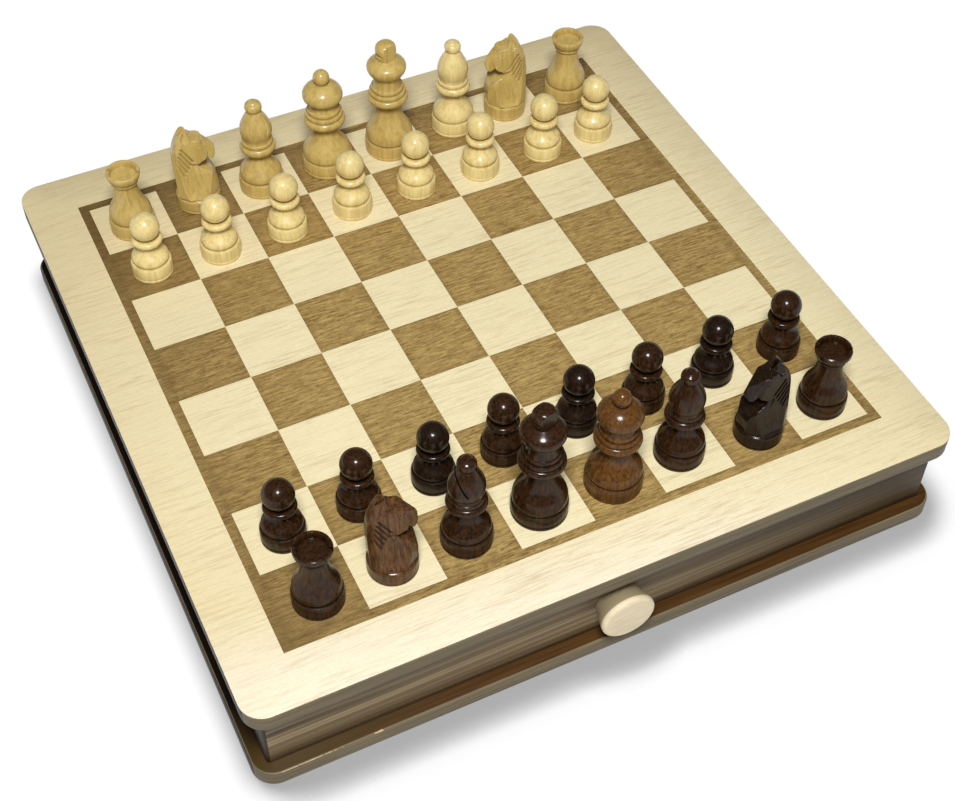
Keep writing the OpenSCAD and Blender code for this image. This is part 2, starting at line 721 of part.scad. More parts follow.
// Turn of a bishop, then start, lean, length and tip of its saw cut
BISHOP_CUT = ["dark_bishop_left", [-26, -5, 33, 10.4, 0],
              "dark_bishop_right", [-128, -5, 33, 10.4, 0],
              "pale_bishop_left", [-96, 2.6, 22, 9, 16],
              "pale_bishop_right", [-105, -5, 33, 10.4, 0]];
function own(list, name) = list[search([name], list)[0] + 1];

// True where the words of name hold the word kind
function is_kind(name, kind) = len([for (s = search(kind[0], name, 0)[0])
    if ([for (k = [0:len(kind) - 1]) name[s + k]] == [for (c = kind) c]) s]) > 0;

module man(name, file, rank, off) {
    translate([(file - 3.5) * square + off[0], (rank - 3.5) * square + off[1], field_z])
        color(is_kind(name, "dark") ? SHEESHAM : BOXWOOD) {
            if (is_kind(name, "pawn")) pawn();
            if (is_kind(name, "rook")) rook(ROOK_TURN);
            if (is_kind(name, "knight")) knight(own(KNIGHT_TURN, name));
            if (is_kind(name, "bishop")) {
                cut = own(BISHOP_CUT, name);
                bishop(cut[0], cut[1], cut[2], cut[3], cut[4]);
            }
            if (is_kind(name, "queen")) queen();
            if (is_kind(name, "king")) king(BUTTON_TURN);
        }
}

// ---- the whole set -------------------------------------------------------------------------

bottom_board();
side_wall(-1);  // left_wall
side_wall(1);  // right_wall
centre_wall();
top_board();
face_veneer();
stained_squares();
for (p = DRAWER_PIECES) {
    drawer_piece(p);
    rotate(180) drawer_piece(p);
}
for (i = [0:7]) {
    man(DARK_BACK[i], i, 0, DARK_OFF[i]);
    dark_pawn = str("dark_pawn_", i + 1);
    pale_pawn = str("pale_pawn_", i + 1);
    man(dark_pawn, i, 1, DARK_PAWN_OFF[i]);
    man(pale_pawn, i, 6, PALE_PAWN_OFF[i]);
    man(PALE_BACK[i], i, 7, PALE_OFF[i]);
}
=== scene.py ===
"""Chess box with two drawers: the look of every piece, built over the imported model.

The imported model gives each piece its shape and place. This script eases the arrises, rounds the
turned and carved men, gives every surface its wood or metal and sets up a plain studio.
"""

import json
import math

import bmesh
import bpy
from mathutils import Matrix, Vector


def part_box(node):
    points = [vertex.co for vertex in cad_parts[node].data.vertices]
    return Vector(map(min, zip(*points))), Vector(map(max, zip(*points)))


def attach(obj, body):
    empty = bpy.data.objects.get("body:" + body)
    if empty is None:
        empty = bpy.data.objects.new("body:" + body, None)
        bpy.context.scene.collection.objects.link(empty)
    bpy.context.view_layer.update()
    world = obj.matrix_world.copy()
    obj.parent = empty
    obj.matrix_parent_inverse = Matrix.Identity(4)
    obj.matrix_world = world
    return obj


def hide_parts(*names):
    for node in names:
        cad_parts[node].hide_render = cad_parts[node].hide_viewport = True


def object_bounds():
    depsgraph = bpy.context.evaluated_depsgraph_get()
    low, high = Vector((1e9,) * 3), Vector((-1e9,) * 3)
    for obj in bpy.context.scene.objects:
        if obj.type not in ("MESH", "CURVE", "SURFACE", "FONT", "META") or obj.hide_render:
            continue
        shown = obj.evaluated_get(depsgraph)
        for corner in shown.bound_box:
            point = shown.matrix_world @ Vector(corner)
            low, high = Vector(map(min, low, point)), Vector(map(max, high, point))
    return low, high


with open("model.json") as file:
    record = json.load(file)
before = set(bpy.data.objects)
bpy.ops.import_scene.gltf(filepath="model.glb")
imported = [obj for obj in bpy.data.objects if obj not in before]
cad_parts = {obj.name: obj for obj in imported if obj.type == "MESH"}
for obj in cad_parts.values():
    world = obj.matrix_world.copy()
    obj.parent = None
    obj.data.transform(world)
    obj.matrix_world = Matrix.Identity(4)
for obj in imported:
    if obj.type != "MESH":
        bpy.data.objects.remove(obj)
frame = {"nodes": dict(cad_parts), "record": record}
CAD_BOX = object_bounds()

bl_info = {
    "name": "Chess Box With Drawers",
    "version": (1, 0, 0),
    "blender": (4, 5, 0),
    "location": "View3D > Sidebar > Chess Box",
    "description": "Dresses the chess box: boards, case, drawers, men and a plain studio",
    "category": "Object",
}

MM = 0.001
# Side of one square of the playing field
SQUARE_W = 31 * MM
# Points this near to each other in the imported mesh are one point
MERGE_GAP = 0.002 * MM
# Faces over this many square metres keep their flat shading
LARGE_FACE = 20e-6
# Depth below a board's face from which its side counts as edge
FACE_SKIN = 0.06 * MM
# Edges sharper than this many degrees are the arrises of a board
ARRIS_ANGLE = 60
# Edges sharper than this many degrees are sanded on a turned man
TURNED_ARRIS_ANGLE = 35
# Faces that meet at less than this many degrees are shaded as one surface
SMOOTH_ANGLE = 30
# Sockets of the Mix node when it mixes colours
MIX_FACTOR, MIX_A, MIX_B, MIX_OUT = 0, 6, 7, 2

NODES = frame["nodes"]
BODY_OF = {node: body for body, nodes in frame["record"]["behaviour"]["bodies"].items() for node in nodes}
BOARD_LOW, BOARD_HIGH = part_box("face_veneer")
BASE_LOW, BASE_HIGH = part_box("bottom_board")
FRONT_LOW, FRONT_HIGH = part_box("front_drawer_front")
KNOB_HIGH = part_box("rear_drawer_knob")[1]
MEN = [node for node in NODES if node.startswith(("dark_", "pale_"))]
KNIGHTS = [node for node in MEN if "knight" in node]
TURNED = [node for node in MEN if node not in KNIGHTS]
# Men cut from other timber than the rest of their side
BLACK_MEN = ("dark_knight_right", "dark_pawn_3", "dark_pawn_5", "dark_pawn_7")
# The dark left knight's paler brown is partly its wood's own colour and partly painted sheen of the lamp on
# its flat sides
BROWN_AND_SHEEN_MEN = ("dark_knight_left",)
HONEY_MEN = (
    "pale_rook_left",
    "pale_knight_left",
    "pale_bishop_left",
    "pale_queen",
    "pale_king",
    "pale_knight_right",
    "pale_rook_right",
)


def linear(code):
    """An sRGB hex colour as linear red, green and blue."""
    channels = [int(code[i:i + 2], 16) / 255 for i in (0, 2, 4)]
    return tuple(c / 12.92 if c <= 0.04045 else ((c + 0.055) / 1.055) ** 2.4 for c in channels)


def opaque(colour):
    """A colour with an alpha of one, as a colour socket wants it."""
    return (*colour, 1.0)


# ---------------------------------------------------------------------------------------------
# Sizes and colours that a user would change
# ---------------------------------------------------------------------------------------------


def colour_property(name, description, code):
    """A colour setting that starts from an sRGB hex colour."""
    return bpy.props.FloatVectorProperty(
        name=name, description=description, default=linear(code), subtype="COLOR", min=0.0, max=1.0
    )


def length_property(name, description, millimetres):
    """A length setting in metres that starts from a size in millimetres."""
    return bpy.props.FloatProperty(
        name=name, description=description, default=millimetres * MM, min=0.0, unit="LENGTH", precision=5
    )


def angle_property(name, description, degrees):
    """An angle setting that starts from an angle in degrees."""
    return bpy.props.FloatProperty(
        name=name, description=description, default=math.radians(degrees), unit="ROTATION"
    )


class ChessBoardLook(bpy.types.PropertyGroup):
    """Veneer, stain and edge of the playing board."""

    veneer: colour_property("Veneer", "Pale veneer between its streaks", "F7EBC0")
    veneer_streak: colour_property("Veneer Streak", "Streaks in the pale veneer", "C9B286")
    # Painted shade: the veneer's colour towards the far corners, darker where the lamp's light falls off
    veneer_painted_shade: colour_property(
        "Aged Veneer", "Veneer at the far corners, where the lacquer yellowed", "C6A56C"
    )
    # Painted highlight: paler, greyer veneer at the front left, where the lamp's light is brightest
    veneer_painted_highlight: colour_property(
        "Sapwood", "Paler sapwood at the front left corner of the veneer sheet", "F4EBD0"
    )
    stain: colour_property("Stain", "Brown stain where it took lightly", "CCAE6C")
    stain_deep: colour_property("Deep Stain", "Brown stain where it took deeply", "6D4F23")
    edge: colour_property("Edge", "Painted edge along the grain of the boards", "7C6F56")
    edge_dark: colour_property("Dark Edge", "Dark streaks in the painted edge", "645945")
    # Painted shade: both ends of the painted edges are much darker, standing for the shade on the left end
    edge_end_painted_shade: colour_property(
        "End Edge", "Painted edge across the grain, where the end grain drank more", "1D160E"
    )
    arris: length_property("Arris", "Radius rubbed onto the upper arris of the board", 0.35)


class ChessCaseLook(bpy.types.PropertyGroup):
    """Bottom board and walls."""

    board: colour_property("Bottom Board", "Red-brown face of the bottom board", "55391A")
    board_dark: colour_property("Dark Grain", "Dark grain in the bottom board", "3E270F")
    board_thick: colour_property(
        "Thick Stain", "Olive brown where the stain lies thick, near the left end", "463516"
    )
    # Painted shadow: near black on the bottom board's strip beside the left wall, under the top board's
    # overhang
    board_end_painted_shadow: colour_property(
        "Board End", "Near-black stain on the left end of the bottom board", "170D06"
    )
    bare: colour_property("Bare Wood", "Wood that shows where the paint is worn or chipped", "C4A97E")
    wall: colour_property("Wall", "Stain on the walls of the case", "2E1F11")
    wall_dark: colour_property("Dark Wall", "Dark grain in the walls", "170D06")
    arris: length_property("Arris", "Radius rubbed onto the arrises of the bottom board", 0.25)


class ChessDrawerLook(bpy.types.PropertyGroup):
    """Drawer fronts, boxes, knobs and screws."""

    front: colour_property("Front", "Ground colour of the walnut front", "78664B")
    front_dark: colour_property("Dark Front", "Dark streaks of the walnut front", "3A2A16")
    front_light: colour_property("Light Front", "Thin light lines of the walnut front", "A18E6C")
    front_end: colour_property("Front End", "Rounded upright edge at each end of a front", "35281C")
    # Painted shade along the lower edge of a front, standing for the dark gap above the bottom board
    front_foot_painted_shade: colour_property("Front Foot", "Stain gathered along the lower edge of a front", "2C1D0B")
    ply: colour_property("Drawer Box", "Birch of the drawer sides, back and bottom", "DCC49A")
    knob: colour_property("Knob", "Turned maple of the knob's face", "ECDEBD")
    # Painted shade: the knob's turned side is darker than its lit face
    knob_side_painted_shade: colour_property(
        "Knob Side", "Turned side of the knob, where the maple drank more oil", "97896B"
    )
    steel: colour_property("Screw", "Zinc-plated steel of the knob's screw", "B8B9B6")
    end_w: length_property("End Width", "Width of the rounded upright edge seen from the front", 1.4)
    knob_face: length_property("Knob Face", "Depth of the knob's rounded face", 2.2)
    # Height of the painted shade along the lower edge of a front
    foot_shade_w: length_property(
        "Foot Width", "Height of the darker band along the lower edge of a front", 5.5
    )


class ChessMenLook(bpy.types.PropertyGroup):
    """Woods and hand finish of the men."""

    dark: colour_property("Dark Wood", "Red-brown figure of the dark men", "46290F")
    dark_vein: colour_property("Dark Vein", "Near-black veins of the dark men", "180E05")
    black: colour_property("Black Wood", "Near-black heartwood of a few dark men", "301D0D")
    black_vein: colour_property("Black Vein", "Veins of that heartwood", "0F0803")
    # Partly the knight's own brown and partly painted sheen of the lamp on its flat sides
    brown: colour_property("Brown Wood", "Paler brown of the dark knight cut from sapwood", "785230")
    brown_vein: colour_property("Brown Vein", "Dark veins of that knight's timber", "38210E")
    queen: colour_property("Dark Queen", "Lighter brown of the dark queen's timber", "765023")
    queen_vein: colour_property("Queen Vein", "Dark veins of the dark queen's timber", "462A0F")
    pale: colour_property("Pale Wood", "Boxwood of most pale men", "F1DD9B")
    pale_vein: colour_property("Pale Vein", "Darker grain of the pale men", "CEB069")
    honey: colour_property("Honey Wood", "Yellower boxwood of the larger pale men", "D1B76C")
    honey_vein: colour_property("Honey Vein", "Darker grain of the yellower boxwood", "AD8B48")
    turned_arris: length_property("Turned Arris", "Radius left on the arrises of a turned man", 0.18)
    carving_grid: length_property("Carving Grid", "Size of one face on a carved knight", 0.22)
    carving_rounds: bpy.props.IntProperty(
        name="Carving Rounds", description="Rounds of sanding over a carved knight", default=2, min=0, max=20
    )


class ChessStudio(bpy.types.PropertyGroup):
    """Camera, lamp, room light and floor."""

    bearing: angle_property("Bearing", "Turn of the view from straight ahead", 26.013)
    dip: angle_property("Dip", "Angle that the camera looks down by", 49.576)
    roll: angle_property("Roll", "Turn of the camera about its own axis", 0.603)
    distance: length_property("Distance", "From the camera to the point it looks at", 646.15)
    aim: bpy.props.FloatVectorProperty(
        name="Aim",
        description="Point that the camera looks at",
        default=(-14.92 * MM, -51.08 * MM, 49.4 * MM),
        unit="LENGTH",
    )
    lens: bpy.props.FloatProperty(
        name="Lens", description="Focal length in millimetres on a 36 mm wide sensor", default=60.39
    )
    key: bpy.props.FloatProperty(
        name="Key Lamp", description="Power in watts of the soft lamp above the camera", default=11.2
    )
    key_rise: length_property("Key Rise", "From the camera up to the lamp above it", 230)
    key_back: length_property("Key Back", "From the camera back to the lamp behind it", 350)
    key_size: length_property("Key Size", "Diameter of the lamp above the camera", 260)
    sky: bpy.props.FloatProperty(
        name="Room Light", description="Strength of the even room light", default=0.12
    )
    shadow_reach: length_property(
        "Shadow Reach", "How far the box's own shadow spreads over the floor", 24
    )
    contact_reach: length_property(
        "Contact Reach", "How far the dark line along the foot of the box spreads", 8
    )


# ---------------------------------------------------------------------------------------------
# Materials
# ---------------------------------------------------------------------------------------------


def add_node(tree, kind, inputs=None, **settings):
    """Adds one shader node with its settings, and fills or links its inputs."""
    node = tree.nodes.new(kind)
    for name, value in settings.items():
        setattr(node, name, value)
    for key, value in (inputs or {}).items():
        if isinstance(value, bpy.types.NodeSocket):
            tree.links.new(value, node.inputs[key])
        else:
            node.inputs[key].default_value = value
    return node


def new_material(name):
    """An empty material, its node tree and the Object coordinates in it."""
    material = bpy.data.materials.new(name)
    material.use_nodes = True
    tree = material.node_tree
    tree.nodes.clear()
    place = add_node(tree, "ShaderNodeTexCoord").outputs["Object"]
    return material, tree, place


def figure(tree, place, size, detail=3.0, roughness=0.5, twist=0.0, contrast=(0.3, 0.7)):
    """Wood figure from 0 to 1, where size is one streak in millimetres along x, y and z."""
    stretched = add_node(
        tree,
        "ShaderNodeMapping",
        {"Vector": place, "Scale": tuple(1 / (s * MM) for s in size)},
    )
    noise = add_node(
        tree,
        "ShaderNodeTexNoise",
        {
            "Vector": stretched.outputs["Vector"],
            "Scale": 1.0,
            "Detail": detail,
            "Roughness": roughness,
            "Distortion": twist,
        },
    )
    spread = add_node(
        tree,
        "ShaderNodeMapRange",
        {"Value": noise.outputs["Fac"], "From Min": contrast[0], "From Max": contrast[1]},
    )
    return spread.outputs["Result"]


def tint(tree, colour, second, pattern, strength=1.0):
    """The colour, taken towards a second one where a pattern from 0 to 1 is strong."""
    weight = add_node(tree, "ShaderNodeMath", {0: pattern, 1: strength}, operation="MULTIPLY")
    mixed = add_node(
        tree,
        "ShaderNodeMix",
        {MIX_FACTOR: weight.outputs["Value"], MIX_A: colour, MIX_B: second},
        data_type="RGBA",
    )
    return mixed.outputs[MIX_OUT]


def ramp(tree, place, axis, start, end, low=0.0, high=1.0):
    """Goes from low to high between two places on one axis, and is level outside them."""
    along = add_node(tree, "ShaderNodeSeparateXYZ", {"Vector": place}).outputs[axis]
    slope = add_node(
        tree,
        "ShaderNodeMapRange",
        {"Value": along, "From Min": start, "From Max": end, "To Min": low, "To Max": high},
    )
    return slope.outputs["Result"]


def side_of(tree, place, axis, edge, beyond=True, mirrored=False):
    """One where a point lies beyond an edge on one axis, or short of it, and zero elsewhere.

    A mirrored edge lies as far from the middle of the box on both of its sides.
    """
    along = add_node(tree, "ShaderNodeSeparateXYZ", {"Vector": place}).outputs[axis]
    if mirrored:
        along = add_node(tree, "ShaderNodeMath", {0: along}, operation="ABSOLUTE").outputs["Value"]
    test = "GREATER_THAN" if beyond else "LESS_THAN"
    return add_node(tree, "ShaderNodeMath", {0: along, 1: edge}, operation=test).outputs["Value"]


def finish_wood(tree, colour, roughness, height, depth, ior=1.5, coat=0.0, coat_roughness=0.1):
    """Closes a wood material, lacquered or bare, with its pores and cuts to a depth in metres."""
    bump = add_node(tree, "ShaderNodeBump", {"Height": height, "Distance": depth, "Strength": 1.0})
    shader = add_node(
        tree,
        "ShaderNodeBsdfPrincipled",
        {
            "Base Color": colour,
            "Roughness": roughness,
            "IOR": ior,
            "Coat Weight": coat,
            "Coat Roughness": coat_roughness,
            "Normal": bump.outputs["Normal"],
        },
    )
    add_node(tree, "ShaderNodeOutputMaterial", {"Surface": shader.outputs["BSDF"]})


def painted_corner_shade(tree, place):
    """Zero over the middle of the board, up to one at its far corners: painted shade where the lamp's light
    falls off.
    """
    lit_middle = (25 * MM, -25 * MM, BOARD_HIGH.z)
    lit_reach, shade_reach, steepness = 90 * MM, 200 * MM, 1.5
    off = add_node(
        tree, "ShaderNodeVectorMath", {0: place, 1: lit_middle}, operation="DISTANCE"
    )
    far = add_node(
        tree,
        "ShaderNodeMapRange",
        {"Value": off.outputs["Value"], "From Min": lit_reach, "From Max": shade_reach},
    )
    return add_node(
        tree, "ShaderNodeMath", {0: far.outputs["Result"], 1: steepness}, operation="POWER"
    ).outputs["Value"]


def painted_edge(tree, place, look):
    """Colour of the painted edge: dull streaks along the grain, and painted shade that makes both ends much
    darker.
    """
    streak = figure(tree, place, (45, 45, 0.9), detail=4, contrast=(0.35, 0.65))
    along = tint(tree, opaque(look.edge_dark), opaque(look.edge), streak)
    end_depth = 0.4 * MM
    # Painted shade: both ends of the edge, much darker, standing for the shade on the left end
    painted_end_shade = side_of(tree, place, "X", BOARD_HIGH.x - end_depth, mirrored=True)
    return tint(tree, along, opaque(look.edge_end_painted_shade), painted_end_shade)


def sliced_maple(look):
    """Sliced maple veneer, sanded and satin lacquered: pale, with fine wavy streaks of darker fibre.

    The streaks lie about 1.5 mm apart and run along the sheet, each 5 to 20 mm long. Painted shade
    darkens the veneer away from the middle, and a painted highlight makes a slanting band paler along the
    front.
    """
    material, tree, place = new_material("sliced_maple_veneer")
    streak = figure(tree, place, (13, 0.85, 0.85), detail=2, roughness=0.55, twist=0.3, contrast=(0.46, 0.8))
    fibre = figure(tree, place, (2.2, 0.38, 0.38), detail=2, roughness=0.7, contrast=(0.35, 0.75))
    broad = figure(tree, place, (60, 12, 12), detail=2, contrast=(0.3, 0.7))
    # Painted highlight: a slanting band along the front left, paler where the light is brightest
    highlight_slant, highlight_start = 0.12, BOARD_LOW.y * 0.79
    axes = add_node(tree, "ShaderNodeSeparateXYZ", {"Vector": place}).outputs
    across = add_node(
        tree,
        "ShaderNodeMath",
        {0: axes["X"], 1: highlight_slant, 2: axes["Y"]},
        operation="MULTIPLY_ADD",
    )
    highlight_band = add_node(
        tree,
        "ShaderNodeMapRange",
        {"Value": across.outputs["Value"], "From Min": highlight_start, "From Max": BOARD_LOW.y},
    )
    highlight_on_left = ramp(tree, place, "X", 120 * MM, 40 * MM)
    # Painted shade: the veneer darkens towards the far corners, where the lamp's light falls off
    ground = tint(tree, opaque(look.veneer), opaque(look.veneer_painted_shade), painted_corner_shade(tree, place), strength=0.31)
    ground = tint(tree, ground, opaque(look.veneer_painted_highlight), highlight_band.outputs["Result"], highlight_on_left)
    least_streak = 0.4
    presence = add_node(tree, "ShaderNodeMath", {0: broad, 1: least_streak}, operation="ADD")
    streaks = add_node(
        tree, "ShaderNodeMath", {0: streak, 1: presence.outputs["Value"]}, operation="MULTIPLY"
    )
    colour = tint(tree, ground, opaque(look.veneer_streak), streaks.outputs["Value"], strength=0.62)
    colour = tint(tree, colour, opaque(look.veneer_streak), fibre, strength=0.34)
    on_face = side_of(tree, place, "Z", BOARD_HIGH.z - FACE_SKIN)
    colour = tint(tree, opaque(look.edge), colour, on_face)
    finish_wood(tree, colour, roughness=0.42, height=fibre, depth=0.008 * MM, ior=1.4)
    return material


def square_rim(tree, place, axis):
    """One along the sides of every square across one axis, falling to zero 3 mm inside it."""
    rim_w = 3 * MM
    across = add_node(tree, "ShaderNodeSeparateXYZ", {"Vector": place}).outputs[axis]
    squares = add_node(tree, "ShaderNodeMath", {0: across, 1: SQUARE_W}, operation="DIVIDE")
    part = add_node(tree, "ShaderNodeMath", {0: squares.outputs["Value"]}, operation="FRACT")
    off = add_node(tree, "ShaderNodeMath", {0: part.outputs["Value"], 1: 0.5}, operation="SUBTRACT")
    from_middle = add_node(tree, "ShaderNodeMath", {0: off.outputs["Value"]}, operation="ABSOLUTE")
    rim = add_node(
        tree,
        "ShaderNodeMapRange",
        {"Value": from_middle.outputs["Value"], "From Min": 0.5 - rim_w / SQUARE_W, "From Max": 0.5},
    )
    return rim.outputs["Result"]


def stained_maple(look):
    """The same veneer with brown stain: darker where the soft fibre drank more, satin lacquered.

    The stain gathered a little along the sides of each square.
    """
    material, tree, place = new_material("stained_maple_veneer")
    streak = figure(tree, place, (9, 1.0, 1.0), detail=4, roughness=0.65, twist=0.5, contrast=(0.38, 0.62))
    fibre = figure(tree, place, (1.8, 0.4, 0.4), detail=2, roughness=0.7, contrast=(0.36, 0.64))
    broad = figure(tree, place, (38, 22, 22), detail=2, contrast=(0.3, 0.7))
    fibre_share = 0.44
    took = add_node(
        tree,
        "ShaderNodeMix",
        {MIX_FACTOR: fibre_share, MIX_A: streak, MIX_B: fibre},
        data_type="RGBA",
    )
    colour = tint(tree, opaque(look.stain_deep), opaque(look.stain), took.outputs[MIX_OUT])
    middle = tuple((light + deep) / 2 for light, deep in zip(look.stain, look.stain_deep))
    colour = tint(tree, colour, opaque(middle), broad, strength=0.3)
    rim = add_node(
        tree,
        "ShaderNodeMath",
        {0: square_rim(tree, place, "X"), 1: square_rim(tree, place, "Y")},
        operation="MAXIMUM",
    )
    deepest = opaque(tuple(c * 0.5 for c in look.stain_deep))
    colour = tint(tree, colour, deepest, rim.outputs["Value"], strength=0.22)
    # Painted shade: the stain darkens towards the far corners, where the lamp's light falls off
    colour = tint(tree, colour, deepest, painted_corner_shade(tree, place), strength=0.7)
    finish_wood(tree, colour, roughness=0.42, height=fibre, depth=0.008 * MM)
    return material


def lacquered_edge(look):
    """Edge of the top board, filled and painted grey-brown: semi-gloss with long dull streaks."""
    material, tree, place = new_material("lacquered_board_edge")
    fill = figure(tree, place, (30, 30, 1.0), detail=3)
    colour = painted_edge(tree, place, look)
    finish_wood(tree, colour, roughness=0.42, height=fill, depth=0.008 * MM, ior=1.2)
    return material


def worn_spots(tree, place, spots):
    """One inside any of some ellipsoids, and zero elsewhere.

    Each spot is its middle, its half sizes in millimetres and how ragged its outline is.
    """
    rough = figure(tree, place, (1.5, 1.0, 0.6), detail=2)
    total = 0.0
    for middle, half, ragged in spots:
        near = add_node(
            tree,
            "ShaderNodeMapping",
            {
                "Vector": place,
                "Location": tuple(-m / (h * MM) for m, h in zip(middle, half)),
                "Scale": tuple(1 / (h * MM) for h in half),
            },
        )
        far = add_node(tree, "ShaderNodeVectorMath", {0: near.outputs["Vector"]}, operation="LENGTH")
        frayed = add_node(
            tree, "ShaderNodeMath", {0: rough, 1: ragged, 2: far.outputs["Value"]}, operation="MULTIPLY_ADD"
        )
        inside = add_node(
            tree,
            "ShaderNodeMath",
            {0: frayed.outputs["Value"], 1: 1.0 + ragged / 2},
            operation="LESS_THAN",
        )
        total = add_node(
            tree, "ShaderNodeMath", {0: inside.outputs["Value"], 1: total}, operation="MAXIMUM"
        ).outputs["Value"]
    return total


def mahogany_board(look, edges):
    """Mahogany-stained board under lacquer: red-brown grain along x on its face, painted edges.

    The stain lies thicker towards the left end, and painted shadow makes the strip beside the left wall
    near black. The paint is rubbed off the upper arris near one corner, and a small chip shows the bare
    wood.
    """
    material, tree, place = new_material("stained_mahogany_board")
    fine = figure(tree, place, (40, 1.6, 1.6), detail=5, roughness=0.6, twist=0.3, contrast=(0.35, 0.65))
    face = tint(tree, opaque(look.board_dark), opaque(look.board), fine)
    thick = ramp(tree, place, "X", BASE_LOW.x + 85 * MM, BASE_LOW.x + 20 * MM)
    face = tint(tree, face, opaque(look.board_thick), thick)
    # Painted shadow of the top board's overhang on the left strip, fading out near the front corner
    in_overhang_shadow = side_of(tree, place, "X", BASE_LOW.x + 14 * MM, beyond=False)
    shadow_behind_corner = ramp(tree, place, "Y", BASE_LOW.y + 8 * MM, BASE_LOW.y + 34 * MM)
    face = tint(tree, face, opaque(look.board_end_painted_shadow), in_overhang_shadow, shadow_behind_corner)
    under_face = side_of(tree, place, "Z", BASE_HIGH.z - FACE_SKIN, beyond=False)
    above_foot = side_of(tree, place, "Z", BASE_LOW.z + FACE_SKIN)
    colour = tint(tree, face, painted_edge(tree, place, edges), under_face, above_foot)
    rubbed = (Vector((BASE_LOW.x + 16 * MM, BASE_LOW.y, BASE_HIGH.z)), (36, 0.6, 0.4), 0.12)
    chip = (Vector((BASE_LOW.x + 48 * MM, BASE_LOW.y, BASE_HIGH.z - 0.1 * MM)), (1.6, 0.9, 0.35), 0.8)
    colour = tint(tree, colour, opaque(look.bare), worn_spots(tree, place, (rubbed, chip)))
    finish_wood(tree, colour, roughness=0.4, height=fine, depth=0.012 * MM, ior=1.25)
    return material


def dark_wall(look):
    """Walls stained near black-brown with grain along the board, satin lacquered."""
    material, tree, place = new_material("stained_case_wall")
    fine = figure(tree, place, (60, 60, 1.8), detail=5, roughness=0.6, twist=0.3, contrast=(0.35, 0.65))
    colour = tint(tree, opaque(look.wall_dark), opaque(look.wall), fine)
    finish_wood(tree, colour, roughness=0.5, height=fine, depth=0.012 * MM, ior=1.3)
    return material


def sliced_walnut(look):
    """Quarter-cut walnut veneer: dark streaks and thin light lines run the length of the front.

    The light lines crowd together in the lower half, and painted shade darkens the wood towards the right.
    The rounded upright ends are darker, and painted shade darkens a band along the lower edge.
    """
    material, tree, place = new_material("sliced_walnut_veneer")
    dark = figure(tree, place, (150, 40, 3.0), detail=4, roughness=0.55, twist=0.1, contrast=(0.3, 0.52))
    light = figure(tree, place, (190, 60, 1.9), detail=2, roughness=0.45, twist=0.1, contrast=(0.45, 0.58))
    fine = figure(tree, place, (22, 8, 0.45), detail=2, roughness=0.6, contrast=(0.3, 0.7))
    crowd = ramp(tree, place, "Z", FRONT_HIGH.z - 6 * MM, FRONT_LOW.z + 14 * MM, low=0.25)
    colour = tint(tree, opaque(look.front_dark), opaque(look.front), dark)
    colour = tint(tree, colour, opaque(look.front_light), light, crowd)
    colour = tint(tree, colour, opaque(look.front_dark), fine, strength=0.3)
    # Painted shade: the front darkens towards its right
    painted_shade_to_right = ramp(tree, place, "X", -40 * MM, 130 * MM, high=0.85)
    colour = tint(tree, colour, opaque(look.front_dark), painted_shade_to_right)
    on_end = side_of(tree, place, "X", FRONT_HIGH.x - look.end_w, mirrored=True)
    colour = tint(tree, colour, opaque(look.front_end), on_end)
    # Painted shade along the lower edge, standing for the dark gap above the bottom board
    foot = ramp(tree, place, "Z", FRONT_LOW.z + look.foot_shade_w, FRONT_LOW.z, high=0.75)
    colour = tint(tree, colour, opaque(look.front_foot_painted_shade), foot)
    finish_wood(tree, colour, roughness=0.45, height=fine, depth=0.012 * MM, ior=1.3)
    return material


def birch_ply(look):
    """Thin birch ply, sanded and left bare: pale and even, with faint grain along the panel."""
    material, tree, place = new_material("birch_plywood")
    fine = figure(tree, place, (35, 2.0, 2.0), detail=4, twist=0.4)
    darker = tuple(c * 0.82 for c in look.ply)
    colour = tint(tree, opaque(look.ply), opaque(darker), fine)
    finish_wood(tree, colour, roughness=0.62, height=fine, depth=0.02 * MM)
    return material


def turned_maple(look):
    """Knob turned from maple, sanded and left pale: soft mottled grain across its flat face."""
    material, tree, place = new_material("turned_maple_knob")
    fine = figure(tree, place, (9, 2.5, 1.4), detail=4, twist=0.8)
    mottle = (0.86, 0.82, 0.74)
    darker = tuple(c * share for c, share in zip(look.knob, mottle))
    colour = tint(tree, opaque(look.knob), opaque(darker), fine)
    # Painted shade: the knob's turned side darker than its face
    shaded_side = side_of(tree, place, "Y", KNOB_HIGH.y - look.knob_face, beyond=False, mirrored=True)
    colour = tint(tree, colour, opaque(look.knob_side_painted_shade), shaded_side)
    finish_wood(tree, colour, roughness=0.5, height=fine, depth=0.02 * MM)
    return material


def zinc_plated_steel(look):
    """Zinc-plated steel screw, pressed and plated: even grey metal, slightly hazy."""
    material, tree, place = new_material("zinc_plated_steel")
    haze = figure(tree, place, (1.2, 1.2, 1.2), detail=3)
    darker = tuple(c * 0.8 for c in look.steel)
    colour = tint(tree, opaque(look.steel), opaque(darker), haze)
    bump = add_node(tree, "ShaderNodeBump", {"Height": haze, "Distance": 0.01 * MM})
    shader = add_node(
        tree,
        "ShaderNodeBsdfPrincipled",
        {"Base Color": colour, "Metallic": 1.0, "Roughness": 0.35, "Normal": bump.outputs["Normal"]},
    )
    add_node(tree, "ShaderNodeOutputMaterial", {"Surface": shader.outputs["BSDF"]})
    return material


def lathe_finish(tree, place, pores):
    """Surface of a turned man: its pores, and the lathe's faint rings half a millimetre apart."""
    rings = figure(tree, place, (60, 60, 0.5), detail=1, contrast=(0.3, 0.7))
    return add_node(tree, "ShaderNodeMath", {0: rings, 1: pores}, operation="ADD").outputs["Value"]


